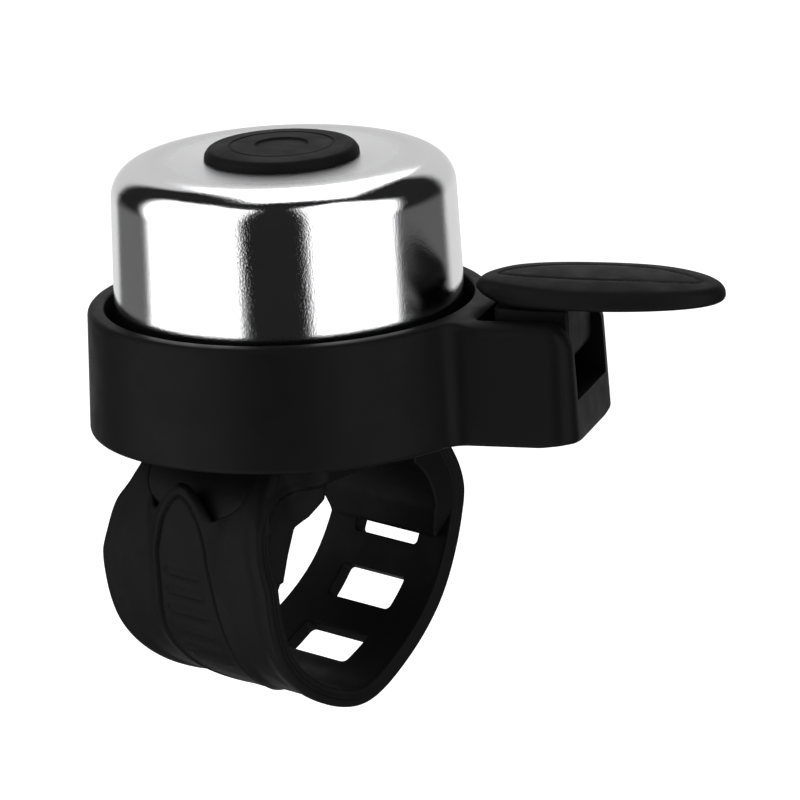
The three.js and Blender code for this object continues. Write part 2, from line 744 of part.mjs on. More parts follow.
const lever = new THREE.Group();
lever.add(
  piece("lever", geometryOf(leverBody()), "plastic"),
  piece("thumb_pad", geometryOf(thumbPad()), "silicone"),
  piece("leaf_screw", screw(1.5, 1, 0.8, 3.4, 16).translate(LEAF_SCREW_U, 0, LEAF_FOOT_Z + 0.55), "steel"),
);
bell.add(lever);

// ---- Striker: leaf spring and hammer ----

function leafSpring() {
  const bend = 2;
  const half = LEAF_T / 2;
  const bendU = LEAF_U + bend;
  const bendZ = LEAF_FOOT_Z + bend;
  const profile = outline([
    [20.3, LEAF_FOOT_Z + half],
    ...arc(bendU, bendZ, bend - half, -90, -180),
    [LEAF_U + half, HAMMER_Z + 3],
    [LEAF_U - half, HAMMER_Z + 3],
    ...arc(bendU, bendZ, bend + half, -180, -90),
    [20.3, LEAF_FOOT_Z - half],
  ]);
  let body = solid(sideOn(profile, -LEAF_HALF, LEAF_HALF));
  body = body.subtract(solid(bar(1.1, 0, 12, 16).translate(LEAF_SCREW_U, 0, 0)));
  const rivetHole = bar(1.1, -5, 5, 16).rotateY(Math.PI / 2);
  return body.subtract(solid(rivetHole.translate(LEAF_U, 0, HAMMER_Z)));
}

// Hammer and rivet are turned about the hammer's own axis, which points out along the arm.
function hammer() {
  const length = HAMMER_TIP - LEAF_U - LEAF_T / 2 - GAP;
  const nose = 1.6;
  return turned(
    [
      [0, 2.6],
      [1.1, 2.6],
      [1.1, 0],
      [HAMMER_R, 0],
      ...arc(HAMMER_R - nose, length - nose, nose, 0, 90, 3),
      [0, length],
    ],
    20,
  );
}

const striker = new THREE.Group();
const faceOut = (geometry, x) => geometry.rotateY(Math.PI / 2).translate(x, 0, HAMMER_Z);
striker.add(
  piece("leaf_spring", geometryOf(leafSpring()), "springSteel"),
  piece("hammer", faceOut(hammer(), LEAF_U + LEAF_T / 2 + GAP), "steel"),
  piece("hammer_rivet", faceOut(screw(1.7, 0.8, 0.8, 3, 16).rotateY(Math.PI), LEAF_U - LEAF_T / 2 - GAP), "steel"),
);
lever.add(striker);

const object = new THREE.Group();
object.add(strapMount, bell);

export default object;
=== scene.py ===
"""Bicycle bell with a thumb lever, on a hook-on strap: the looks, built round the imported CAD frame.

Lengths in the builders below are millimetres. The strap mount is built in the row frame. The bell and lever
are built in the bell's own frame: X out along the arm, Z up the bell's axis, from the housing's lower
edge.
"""

import json
import math

import bmesh
import bpy
import numpy as np
from mathutils import Matrix, Vector
from mathutils.geometry import delaunay_2d_cdt


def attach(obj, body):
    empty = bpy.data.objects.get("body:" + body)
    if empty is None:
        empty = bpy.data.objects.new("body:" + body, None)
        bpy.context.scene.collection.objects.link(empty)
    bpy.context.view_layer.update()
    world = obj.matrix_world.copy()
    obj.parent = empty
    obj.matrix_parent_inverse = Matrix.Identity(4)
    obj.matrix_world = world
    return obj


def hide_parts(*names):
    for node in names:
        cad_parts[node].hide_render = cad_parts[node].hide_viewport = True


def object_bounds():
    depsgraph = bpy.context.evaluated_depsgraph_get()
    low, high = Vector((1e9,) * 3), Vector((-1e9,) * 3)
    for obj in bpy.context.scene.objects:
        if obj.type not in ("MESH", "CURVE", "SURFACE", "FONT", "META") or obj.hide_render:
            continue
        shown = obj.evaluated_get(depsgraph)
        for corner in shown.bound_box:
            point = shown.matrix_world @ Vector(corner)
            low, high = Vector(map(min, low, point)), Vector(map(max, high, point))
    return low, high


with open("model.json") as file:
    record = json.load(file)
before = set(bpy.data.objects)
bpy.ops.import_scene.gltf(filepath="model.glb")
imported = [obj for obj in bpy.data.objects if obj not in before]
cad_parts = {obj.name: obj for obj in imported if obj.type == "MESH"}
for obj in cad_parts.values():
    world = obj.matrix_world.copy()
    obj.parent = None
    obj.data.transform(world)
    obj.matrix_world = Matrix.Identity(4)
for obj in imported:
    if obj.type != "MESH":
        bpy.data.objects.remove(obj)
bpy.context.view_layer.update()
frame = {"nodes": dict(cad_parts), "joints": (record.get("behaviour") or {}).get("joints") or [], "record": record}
nodes = frame["nodes"]
joints = {j["name"]: j for j in frame["joints"]}

MM = 0.001
FAR = 1e9
NEARLY_STRAIGHT = math.radians(89.5)  # half of a corner's angle, from which on it isn't rounded
LONGEST_ROUNDING = 0.49  # a rounding's share of the shorter side next to its corner

# The bell's own frame, from the joints: the swivel gives its height, the lever's pin the arm's direction.
BELL_Z = joints["bell_swivel"]["pos_m"][2] / MM
PIN_AXIS = Vector(joints["lever_press"]["axis"]).normalized()
ARM_ANGLE = math.atan2(-PIN_AXIS.x, PIN_AXIS.y)
ROW = Matrix.Diagonal((MM, MM, MM, 1))
BELL = Matrix.Rotation(ARM_ANGLE, 4, "Z") @ Matrix.Translation((0, 0, BELL_Z * MM)) @ ROW


# ---- Shapes ----

def arc(x, y, r, start, end, steps=12):
    """Points of an arc about (x, y), from one angle to another in degrees."""
    return [
        (x + r * math.cos(math.radians(a)), y + r * math.sin(math.radians(a)))
        for a in np.linspace(start, end, steps + 1)
    ]


def rounded(corners, closed=True, steps=6):
    """A polyline of (x, y, radius) corners, each one replaced by an arc of its radius."""
    points = []
    count = len(corners)
    for i, (x, y, r) in enumerate(corners):
        if r == 0 or (not closed and i in (0, count - 1)):
            points.append((x, y))
            continue
        here = np.array((x, y))
        before = np.array(corners[i - 1][:2]) - here
        after = np.array(corners[(i + 1) % count][:2]) - here
        reach = [np.linalg.norm(before), np.linalg.norm(after)]
        before, after = before / reach[0], after / reach[1]
        half = math.acos(np.clip(before @ after, -1, 1)) / 2
        if half > NEARLY_STRAIGHT:
            points.append((x, y))
            continue
        back = min(r / math.tan(half), LONGEST_ROUNDING * min(reach))
        r = back * math.tan(half)
        middle = (before + after) / np.linalg.norm(before + after)
        centre = here + middle * r / math.sin(half)
        a, b = here + before * back - centre, here + after * back - centre
        start = math.atan2(a[1], a[0])
        turn = (math.atan2(b[1], b[0]) - start + math.pi) % (2 * math.pi) - math.pi
        for k in range(steps + 1):
            angle = start + turn * k / steps
            points.append((centre[0] + r * math.cos(angle), centre[1] + r * math.sin(angle)))
    return points


def resampled(points, step):
    """A closed outline with points at even distances, as an array."""
    p = np.array(points, float)
    p = np.vstack([p, p[:1]])
    length = np.concatenate([[0], np.cumsum(np.linalg.norm(np.diff(p, axis=0), axis=1))])
    keep = np.concatenate([[True], np.diff(length) > 1e-9])
    p, length = p[keep], length[keep]
    at = np.linspace(0, length[-1], max(8, round(length[-1] / step)), endpoint=False)
    return np.stack([np.interp(at, length, p[:, k]) for k in (0, 1)], -1)


def outward(loop):
    """Unit normals of a closed outline, to the right of its direction."""
    along = np.roll(loop, -1, 0) - np.roll(loop, 1, 0)
    along /= np.linalg.norm(along, axis=1)[:, None] + 1e-12
    return np.stack([along[:, 1], -along[:, 0]], -1)


def signed_area(loop):
    """Area of a closed outline, positive if it runs anticlockwise."""
    x, y = np.array(loop, float).T
    return 0.5 * float(np.sum(x * np.roll(y, -1) - np.roll(x, -1) * y))


def inside(points, loops):
    """Which points lie inside the closed loops, counted even and odd."""
    result = np.zeros(len(points), bool)
    for loop in loops:
        a, b = loop, np.roll(loop, -1, 0)
        for (x0, y0), (x1, y1) in zip(a, b):
            if y0 == y1:
                continue
            crosses = (points[:, 1] >= min(y0, y1)) & (points[:, 1] < max(y0, y1))
            at = x0 + (points[:, 1] - y0) * (x1 - x0) / (y1 - y0)
            result ^= crosses & (points[:, 0] < at)
    return result


def distance(points, loop):
    """Distance of each point from a closed outline."""
    nearest = np.full(len(points), FAR)
    for p, q in zip(loop, np.roll(loop, -1, 0)):
        d = q - p
        t = np.clip(((points - p) @ d) / (d @ d + 1e-12), 0, 1)
        nearest = np.minimum(nearest, np.linalg.norm(points - p - t[:, None] * d, axis=1))
    return nearest


def smoothstep(t):
    """A soft step from 0 to 1."""
    t = np.clip(t, 0, 1)
    return t * t * (3 - 2 * t)


def flat(value):
    """A level surface for a slab."""
    return lambda p: np.full(len(p), float(value))


def grid_in(loops, step, clear):
    """Points of a triangular grid inside the loops, no nearer to them than a distance."""
    every = np.vstack(loops)
    lo, hi = every.min(0), every.max(0)
    xs = np.arange(lo[0], hi[0], step)
    ys = np.arange(lo[1], hi[1], step * math.sqrt(0.75))
    gx, gy = np.meshgrid(xs, ys)
    gx = gx + (np.arange(len(ys)) % 2)[:, None] * step / 2
    points = np.stack([gx.ravel(), gy.ravel()], -1)
    points = points[inside(points, loops)]
    for loop in loops:
        points = points[distance(points, loop) > clear]
    return points


def cap_faces(loops, points):
    """Triangles that fill the loops through the points: (vertices, faces). The loops' points come first."""
    edges, first = [], 0
    for loop in loops:
        n = len(loop)
        edges += [(first + i, first + (i + 1) % n) for i in range(n)]
        first += n
    every = np.vstack([*loops, points]) if len(points) else np.vstack(loops)
    verts, _, faces, origins, _, _ = delaunay_2d_cdt([Vector(p) for p in every], edges, [], 0, 1e-7)
    made = np.array([tuple(v) for v in verts])
    faces = np.array([f for f in faces if len(f) == 3])
    faces = faces[inside(made[faces].mean(1), loops)]
    return made, faces, [o[0] if o else -1 for o in origins]


class Line:
    """A smooth line through points (y, z), measured by its length."""

    def __init__(self, points):
        p = [np.array(q, float) for q in (points[0], *points, points[-1])]
        out = []
        for a, b, c, d in zip(p, p[1:], p[2:], p[3:]):
            t = np.linspace(0, 1, 80, endpoint=False)[:, None]
            v0, v1 = (c - a) / 2, (d - b) / 2
            cubic, square = 2 * b - 2 * c + v0 + v1, 3 * c - 3 * b - 2 * v0 - v1
            out.append(cubic * t ** 3 + square * t ** 2 + v0 * t + b)
        self.points = np.vstack([*out, p[-1]])
        steps = np.linalg.norm(np.diff(self.points, axis=0), axis=1)
        self.s = np.concatenate([[0], np.cumsum(steps)])
        self.length = self.s[-1]

    def at(self, s):
        """Positions and unit outward normals at distances along the line."""
        here = np.stack([np.interp(s, self.s, self.points[:, k]) for k in (0, 1)], -1)
        ahead = np.stack([np.interp(s + 0.2, self.s, self.points[:, k]) for k in (0, 1)], -1)
        behind = np.stack([np.interp(s - 0.2, self.s, self.points[:, k]) for k in (0, 1)], -1)
        along = ahead - behind
        along /= np.linalg.norm(along, axis=1)[:, None] + 1e-12
        return here, np.stack([along[:, 1], -along[:, 0]], -1)


class Edge:
    """How a slab's wall runs round one outline: roundings at its top and bottom, and a profile between.

    The profile gives how far the wall stands out, at a share of its height from top to bottom, and weight
    scales it from point to point. The top's rounding may also be a function of the points.
    """

    def __init__(self, points, top=0.3, bottom=0.3, profile=None, rows=2, step=0.5, hole=False, weight=None):
        loop = resampled(points, step)
        if (signed_area(loop) < 0) != hole:
            loop = loop[::-1].copy()
        self.loop, self.normal = loop, outward(loop)
        self.top, self.bottom = top(loop) if callable(top) else top, bottom
        self.profile = profile or (lambda t: 0.0)
        self.rows = rows
        self.weight = weight(loop) if weight else np.ones(len(loop))

    def rings(self, top, bottom, steps=5):
        """Points of each ring round the wall, from the top surface down to the bottom one."""
        out = []
        for k in range(steps + 1):
            a = math.pi / 2 * k / steps
            p = self.moved(0, self.top * (1 - math.sin(a)))
            out.append(np.column_stack([p, top(p) - self.top * (1 - math.cos(a))]))
        wall_top = top(self.loop) - self.top
        wall_low = bottom(self.loop) + self.bottom
        for k in range(1, self.rows):
            share = k / self.rows
            out.append(np.column_stack([self.moved(share, 0), wall_top + (wall_low - wall_top) * share]))
        for k in range(steps + 1):
            a = math.pi / 2 * (1 - k / steps)
            p = self.moved(1, self.bottom * (1 - math.sin(a)))
            out.append(np.column_stack([p, bottom(p) + self.bottom * (1 - math.cos(a))]))
        return out

    def moved(self, share, inset):
        """The outline moved by the wall's profile at a share of its height, less an inset."""
        return self.loop + self.normal * (self.profile(share) * self.weight - inset)[:, None]


def with_fine(points, fine, loops, step):
    """A grid's points inside the loops with finer ones added, and without its own that lie next to those."""
    clear = inside(fine, loops)
    for loop in loops:
        clear &= distance(fine, loop) > 0.15
    extra = fine[clear]
    if not len(extra):
        return points
    lo, hi = extra.min(0) - step, extra.max(0) + step
    close = np.all((points > lo) & (points < hi), axis=1)
    gaps = np.full(len(points), FAR)
    for part in np.array_split(extra, max(1, len(extra) // 400)):
        d = np.linalg.norm(points[close][:, None] - part[None], axis=2).min(1)
        gaps[close] = np.minimum(gaps[close], d)
    return np.vstack([points[gaps > 0.45 * step], extra])


def slab(edges, top, bottom, step=0.8, fine=None, under_step=None):
    """A plate between two surfaces, with rounded edges: (vertices, faces), in the plate's own x, y, z.

    edges are the outline and the holes; top and bottom give the height at an array of points. fine is
    an array of extra points on the top, where its grid has to be finer.
    """
    verts, faces = [], []
    count = 0
    rings = []
    for e in edges:
        loop_rings = []
        for p in e.rings(top, bottom):
            verts.append(p)
            loop_rings.append(np.arange(count, count + len(p)))
            count += len(p)
        for upper, lower in zip(loop_rings, loop_rings[1:]):
            quads = np.column_stack([upper, np.roll(upper, -1), np.roll(lower, -1), lower])
            faces += [tuple(q) for q in quads]
        rings.append(loop_rings)
    for side, surface, grid_step in ((0, top, step), (-1, bottom, under_step or step)):
        loops = [np.vstack(verts)[r[side]][:, :2] for r in rings]
        points = grid_in(loops, grid_step, grid_step * 0.6)
        if side == 0 and fine is not None:
            points = with_fine(points, fine, loops, grid_step)
        made, triangles, origins = cap_faces(loops, points)
        ring_index = np.concatenate([r[side] for r in rings])
        index = np.empty(len(made), int)
        fresh = []
        for i, o in enumerate(origins):
            if 0 <= o < len(ring_index):
                index[i] = ring_index[o]
            else:
                index[i] = count + len(fresh)
                fresh.append(i)
        if fresh:
            inner = made[fresh]
            verts.append(np.column_stack([inner, surface(inner)]))
            count += len(fresh)
        order = (0, 1, 2) if side == 0 else (0, 2, 1)
        faces += [tuple(index[t[list(order)]]) for t in triangles]
    return np.vstack(verts), faces


def turned(profile, segments=160):
    """A closed or axis-to-axis profile of (radius, height) points turned about Z: (vertices, faces)."""
    verts, rings = [], []
    for r, z in profile:
        if r < 1e-6:
            rings.append([len(verts)] * segments)
            verts.append((0, 0, z))
            continue
        first = len(verts)
        for k in range(segments):
            a = 2 * math.pi * k / segments
            verts.append((r * math.cos(a), r * math.sin(a), z))
        rings.append(list(range(first, first + segments)))
    if profile[0][0] > 0:
        rings.append(rings[0])
    faces = []
    for low, high in zip(rings, rings[1:]):
        for k in range(segments):
            m = (k + 1) % segments
            face = [low[k], low[m], high[m], high[k]]
            face = [v for i, v in enumerate(face) if v != face[i - 1]]
            if len(face) > 2:
                faces.append(tuple(face))
    return np.array(verts, float), faces


def boxed(x0, x1, y0, y1, z0, z1):
    """A box, for cutting."""
    verts = [(x, y, z) for x in (x0, x1) for y in (y0, y1) for z in (z0, z1)]
    faces = [(0, 1, 3, 2), (4, 6, 7, 5), (0, 4, 5, 1), (2, 3, 7, 6), (0, 2, 6, 4), (1, 5, 7, 3)]
    return np.array(verts, float), faces


def mesh_object(name, shape, matrix):
    """A mesh object in metres from a shape in millimetres, with its normals facing out."""
    verts, faces = shape
    mesh = bpy.data.meshes.new(name)
    mesh.from_pydata([tuple(v) for v in verts], [], [tuple(int(i) for i in f) for f in faces])
    mesh.transform(matrix)
    work = bmesh.new()
    work.from_mesh(mesh)
    bmesh.ops.remove_doubles(work, verts=work.verts, dist=2e-7)
    bmesh.ops.recalc_face_normals(work, faces=work.faces)
    work.to_mesh(mesh)
    work.free()
    obj = bpy.data.objects.new(name, mesh)
    bpy.context.scene.collection.objects.link(obj)
    return obj


def carve(obj, shapes, matrix, operation="DIFFERENCE"):
    """Cuts the shapes out of a mesh object, or joins them to it."""
    for shape in shapes:
        tool = mesh_object("cutter", shape, matrix)
        modifier = obj.modifiers.new("cut", "BOOLEAN")
        modifier.operation = operation
        modifier.object = tool
        modifier.solver = "EXACT"
        bpy.context.view_layer.objects.active = obj
        bpy.context.view_layer.update()
        with bpy.context.temp_override(object=obj, active_object=obj):
            bpy.ops.object.modifier_apply(modifier=modifier.name)
        bpy.data.objects.remove(tool)


def piece(name, shape, matrix, body, node, material, cuts=(), joins=(), crease=38):
    """A finished piece that stands for a CAD node."""
    obj = mesh_object(name, shape, matrix)
    carve(obj, joins, matrix, "UNION")
    carve(obj, cuts, matrix)
    obj.data.shade_smooth()
    obj.data.set_sharp_from_angle(angle=math.radians(crease))
    obj.data.materials.clear()
    obj.data.materials.append(material)
    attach(obj, body)
    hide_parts(node)
    return obj


# ---- Materials ----

def tuned(name, colour, roughness, metallic=0.0, grain=0.3, bump=0.1, bump_depth=0.01, spread=0.06,
          colour_spread=0.1, specular=0.5, streaks=None):
    """A procedural material.

    grain is the size of its texture and bump_depth its depth, in mm. spread is the variation of its
    roughness and colour_spread of its colour, and streaks scales the texture along each axis.
    """
    material = bpy.data.materials.new(name)
    material.use_nodes = True
    tree = material.node_tree
    shader = tree.nodes["Principled BSDF"]
    shader.inputs["Metallic"].default_value = metallic
    shader.inputs["Specular IOR Level"].default_value = specular
    place = tree.nodes.new("ShaderNodeTexCoord")
    coordinates = place.outputs["Object"]
    if streaks:
        stretch = tree.nodes.new("ShaderNodeMapping")
        stretch.inputs["Scale"].default_value = streaks
        tree.links.new(coordinates, stretch.inputs["Vector"])
        coordinates = stretch.outputs["Vector"]

    def noise(size, detail):
        node = tree.nodes.new("ShaderNodeTexNoise")
        node.inputs["Scale"].default_value = 1 / (size * MM)
        node.inputs["Detail"].default_value = detail
        node.inputs["Roughness"].default_value = 0.6
        tree.links.new(coordinates, node.inputs["Vector"])
        return node.outputs["Fac"]

    def ranged(source, low, high):
        node = tree.nodes.new("ShaderNodeMapRange")
        node.inputs["From Min"].default_value = 0.3
        node.inputs["From Max"].default_value = 0.7
        node.inputs["To Min"].default_value = low
        node.inputs["To Max"].default_value = high
        tree.links.new(source, node.inputs["Value"])
        return node.outputs["Result"]

    fine = noise(grain, 3)
    broad = noise(grain * 22, 2)
    tree.links.new(ranged(broad, roughness - spread, roughness + spread), shader.inputs["Roughness"])
    tint = tree.nodes.new("ShaderNodeMix")
    tint.data_type = "RGBA"
    tint.inputs["A"].default_value = (*[c * (1 - colour_spread) for c in colour], 1)
    tint.inputs["B"].default_value = (*[min(1, c * (1 + colour_spread)) for c in colour], 1)
    tree.links.new(broad, tint.inputs["Factor"])
    tree.links.new(tint.outputs["Result"], shader.inputs["Base Color"])
    relief = tree.nodes.new("ShaderNodeBump")
    relief.inputs["Strength"].default_value = bump
    relief.inputs["Distance"].default_value = bump_depth * MM
    tree.links.new(fine, relief.inputs["Height"])
    tree.links.new(relief.outputs["Normal"], shader.inputs["Normal"])
    return material


SILICONE = tuned("black_silicone", (0.0038, 0.0038, 0.004), 0.55, grain=0.16, bump=0.35, bump_depth=0.02,
                 specular=0.06)
PLASTIC = tuned("black_moulded_plastic", (0.0028, 0.0028, 0.003), 0.5, grain=0.22, bump=0.4, bump_depth=0.02,
                specular=0.07)
CHROME = tuned("polished_chrome", (0.86, 0.86, 0.87), 0.07, metallic=1, grain=0.25, bump=1.0,
               bump_depth=0.016, spread=0.015, colour_spread=0.02)
STEEL = tuned("zinc_plated_steel", (0.55, 0.56, 0.58), 0.32, metallic=1, grain=0.2, bump=0.15, spread=0.08)
SPRING_STEEL = tuned("spring_steel", (0.32, 0.33, 0.36), 0.3, metallic=1, grain=0.15, bump=0.1,
                     streaks=(1, 1, 0.15))
BRASS = tuned("brass", (0.7, 0.5, 0.24), 0.3, metallic=1, grain=0.2, bump=0.1)
RUBBER = tuned("black_rubber", (0.008, 0.008, 0.008), 0.8, grain=0.25, bump=0.4, bump_depth=0.03,
               specular=0.15)
NYLON = tuned("natural_nylon", (0.72, 0.7, 0.62), 0.5, grain=0.25, bump=0.15)


def satin_top_with_painted_shade(material, fade_from, fade_to, roughness, tint):
    """Gives a turned part a satin face about the bell's axis, which fades out between two radii (mm), and darkens
    its colour there to the tint: painted shade on the dome's top.
    """
    tree = material.node_tree
    shader = tree.nodes["Principled BSDF"]
    polish = shader.inputs["Roughness"].links[0].from_socket
    place = tree.nodes.new("ShaderNodeTexCoord")
    flat_place = tree.nodes.new("ShaderNodeVectorMath")
    flat_place.operation = "MULTIPLY"
    flat_place.inputs[1].default_value = (1, 1, 0)
    tree.links.new(place.outputs["Object"], flat_place.inputs[0])
    away = tree.nodes.new("ShaderNodeVectorMath")
    away.operation = "LENGTH"
    tree.links.new(flat_place.outputs["Vector"], away.inputs[0])
    share = tree.nodes.new("ShaderNodeMapRange")
    share.interpolation_type = "SMOOTHSTEP"
    share.inputs["From Min"].default_value = fade_from * MM
    share.inputs["From Max"].default_value = fade_to * MM
    tree.links.new(away.outputs["Value"], share.inputs["Value"])
    blend = tree.nodes.new("ShaderNodeMix")
    blend.inputs["A"].default_value = roughness
    tree.links.new(share.outputs["Result"], blend.inputs["Factor"])
    tree.links.new(polish, blend.inputs["B"])
    tree.links.new(blend.outputs["Result"], shader.inputs["Roughness"])
    # Painted shade: the satin face's colour is darkened towards the tint, standing in for the greyer reflection of
    # the dome's top.
    colour = shader.inputs["Base Color"].links[0].from_socket
    painted_shade = tree.nodes.new("ShaderNodeMix")
    painted_shade.data_type = "RGBA"
    painted_shade.inputs["A"].default_value = (*tint, 1)
    tree.links.new(share.outputs["Result"], painted_shade.inputs["Factor"])
    tree.links.new(colour, painted_shade.inputs["B"])
    tree.links.new(painted_shade.outputs["Result"], shader.inputs["Base Color"])


# The dome's top: a satin face, with its colour darkened to a grey tint as painted shade.
satin_top_with_painted_shade(CHROME, fade_from=13, fade_to=18.5, roughness=0.3, tint=(0.7, 0.7, 0.71))

SLOT_MATERIALS = {
    "silicone": SILICONE,
    "housing": PLASTIC,
    "chrome": CHROME,
    "steel": STEEL,
    "spring_steel": SPRING_STEEL,
    "brass": BRASS,
    "rubber": RUBBER,
    "nylon": NYLON,
}


# ---- Dome and cap ----

DOME_TOP = 33.87
DOME_RIM = 11.6
DOME_R = 22
DOME_WALL = 0.9
DOME_BORE_R = 2
SHOULDER_R = 21.5
SHOULDER_FILLET = 4
SHOULDER_CROWN = 12
SHOULDER_BLEND = 75  # degrees up the shoulder, where its fillet meets its crown
SEAT_DEPTH = 1.4  # the dished seat in the dome's top, under the cap

CAP_TOP = 35.4
CAP_R = 9.7
CAP_BORE_R = 5.4
CAP_SPIGOT_R = 6.3
CAP_EDGE_R = 0.8


def dome_shoulder(depth, steps=20):
    """The shoulder's two arcs, from the wall up to the flat top, at a depth below the outer surface."""
    blend = math.radians(SHOULDER_BLEND)
    spare = SHOULDER_CROWN - SHOULDER_FILLET
    flat_r = SHOULDER_R - SHOULDER_FILLET - spare * math.cos(blend)
    crown_z = DOME_TOP - SHOULDER_CROWN
    fillet_z = crown_z + spare * math.sin(blend)
    lower = arc(SHOULDER_R - SHOULDER_FILLET, fillet_z, SHOULDER_FILLET - depth, 1.6, SHOULDER_BLEND, steps)
    return lower + arc(flat_r, crown_z, SHOULDER_CROWN - depth, SHOULDER_BLEND, 90, steps // 2)[1:]


def dome_shape():
    """The dome's wall with its rolled rim, the shoulder and the seat, turned about the bell's axis."""
    rim = rounded([
        (20.6, DOME_RIM + 0.4, 0), (21.1, DOME_RIM, 0.25), (DOME_R, DOME_RIM, 0.3), (DOME_R - 0.1, 15, 0),
    ], closed=False)
    seat_top = DOME_TOP - SEAT_DEPTH
    seat_under = DOME_TOP - SEAT_DEPTH - DOME_WALL
    seat = rounded([
        (9.2, DOME_TOP, 0), (7.4, DOME_TOP - 0.3, 0.4), (6.8, seat_top, 0.4), (DOME_BORE_R, seat_top, 0),
        (DOME_BORE_R, seat_under, 0), (7.1, seat_under, 0.4), (7.7, DOME_TOP - 0.3 - DOME_WALL, 0.4),
        (9.4, DOME_TOP - DOME_WALL, 0.2),
    ], closed=False)
    return turned(rim + dome_shoulder(0) + seat + dome_shoulder(DOME_WALL)[::-1], segments=256)


def cap_shape():
    """The cap: a hollow spigot in the dome's seat, a rounded edge and a groove round a raised middle."""
    spigot = [
        (0, CAP_TOP - 0.55, 0), (CAP_BORE_R, CAP_TOP - 0.55, 0), (CAP_BORE_R, DOME_TOP - 1.1, 0),
        (CAP_SPIGOT_R, DOME_TOP - 1.1, 0), (CAP_SPIGOT_R, DOME_TOP + 0.02, 0),
    ]
    edge = [
        (CAP_R, DOME_TOP - 0.02, 0.12), (CAP_R - 0.05, DOME_TOP + 0.6, 0.6),
        (CAP_R - 0.55, CAP_TOP - 0.2, CAP_EDGE_R),
    ]
    groove = [(6.7, CAP_TOP - 0.02, 0.1), (6.55, CAP_TOP - 0.16, 0.08), (6.2, CAP_TOP - 0.02, 0.1)]
    middle = [(3.4, CAP_TOP + 0.06, 0.12), (3.15, CAP_TOP - 0.22, 0.1), (0, CAP_TOP - 0.14, 0)]
    return turned(rounded([*spigot, *edge, *groove, *middle], closed=False, steps=8))


# ---- Housing ----

RING_R = 25.25
RING_INNER_R = 23.15
RING_TOP = 15.75
ARM_TOP = 15.4
ARM_HALF = 9.5
ARM_END = 38.4
ARM_CORNER_R = 2.1
ARM_FILLET_R = 3
SLOT_IN, SLOT_OUT, SLOT_HALF = 26, 35.6, 6.7
SLOT_CORNER_R = 0.8
SILL = 5.5
WINDOW_IN, WINDOW_TOP = 15, 10.8
WALL_FLARE = 0.45  # how much further out the housing's wall stands at the bottom than at the top


def housing_outline():
    """Plan of the ring and its arm, with a hollow fillet where they meet."""
    corner, fillet = ARM_CORNER_R, ARM_FILLET_R
    fillet_x = math.sqrt((RING_R + fillet) ** 2 - (ARM_HALF + fillet) ** 2)
    turn = math.degrees(math.atan2(ARM_HALF + fillet, fillet_x))
    arm = arc(fillet_x, -ARM_HALF - fillet, fillet, 180 - turn, 90)
    arm += arc(ARM_END - corner, corner - ARM_HALF, corner, -90, 0)
    arm += arc(ARM_END - corner, ARM_HALF - corner, corner, 0, 90)
    arm += arc(fillet_x, ARM_HALF + fillet, fillet, -90, -180 + turn)
    return arm + arc(0, 0, RING_R, turn, 360 - turn, 180)


def housing_shape():
    """The ring and its arm, whose top falls away at its edges and end, with the slot for the lever."""
    outer = resampled(housing_outline(), 0.6)
    x0, x1, half, corner = SLOT_IN, SLOT_OUT, SLOT_HALF, SLOT_CORNER_R
    slot = rounded([(x0, -half, corner), (x1, -half, corner), (x1, half, corner), (x0, half, corner)])
    edges = [
        Edge(outer, 0.8, 0.7, lambda t: WALL_FLARE * t, rows=6, step=0.6),
        Edge(arc(0, 0, RING_INNER_R, 0, 359, 359), 0.3, 0.3, rows=2, step=0.8, hole=True),
        Edge(slot, 0.5, 0.3, rows=2, hole=True),
    ]
    drop = RING_TOP - ARM_TOP

    def high(p):
        beyond = np.hypot(*p.T) - RING_R
        height = RING_TOP - drop * smoothstep((beyond + 0.4) / 1.6)
        from_edge = np.clip(1 - distance(p, outer) / 2.7, 0, 1)
        from_end = np.clip(1 - (ARM_END - p[:, 0]) / 3.4, 0, 1)
        return height - (1.1 * from_edge ** 2 + 1.3 * from_end ** 2) * smoothstep((beyond - 0.5) / 3)

    def low(p):
        from_corner = np.hypot(p[:, 0] - ARM_END, np.abs(p[:, 1]) - ARM_HALF)
        return 0.5 * np.clip(1 - from_corner / 4, 0, 1)

    return slab(edges, high, low, step=0.7)


def housing_cuts():
    """The slot's open end above its sill, and the way through the ring's wall for the lever's beam."""
    return [
        boxed(SLOT_OUT - 1, ARM_END + 2, -SLOT_HALF, SLOT_HALF, SILL, RING_TOP + 4.25),
        boxed(WINDOW_IN, SLOT_IN + 1, -SLOT_HALF, SLOT_HALF, -1, WINDOW_TOP),
    ]


# ---- Lever ----

PAD_IN, PAD_OUT, PAD_HALF = 24.5, 56, 8
PAD_Z = 16.6
PAD_RIDGE = [(PAD_IN, 19.2), (29, 19.95), (36, 20.3), (44, 20.25), (50, 19.75), (PAD_OUT, 18.75)]
PAD_CROWN = 1.15  # how far the pad's top falls from its ridge to its edges
BORDER_GROOVE, BORDER_GROOVE_HALF = 0.2, 0.28
PIN_X, HUB_R = 34.6, 2.8
HUB_LOW = 9
BEAM_IN, BEAM_LOW, BEAM_HIGH = 17, 4.9, 7.6
STEM_IN = 28
LEVER_HALF = 5.4


def lens(half_length, half_width, power, points=160):
    """A pointed oval about the middle of the pad."""
    angles = np.linspace(0, 2 * math.pi, points, endpoint=False)
    across = np.sign(np.sin(angles)) * np.abs(np.sin(angles)) ** power
    return np.column_stack([(PAD_OUT + PAD_IN) / 2 + half_length * np.cos(angles), half_width * across])


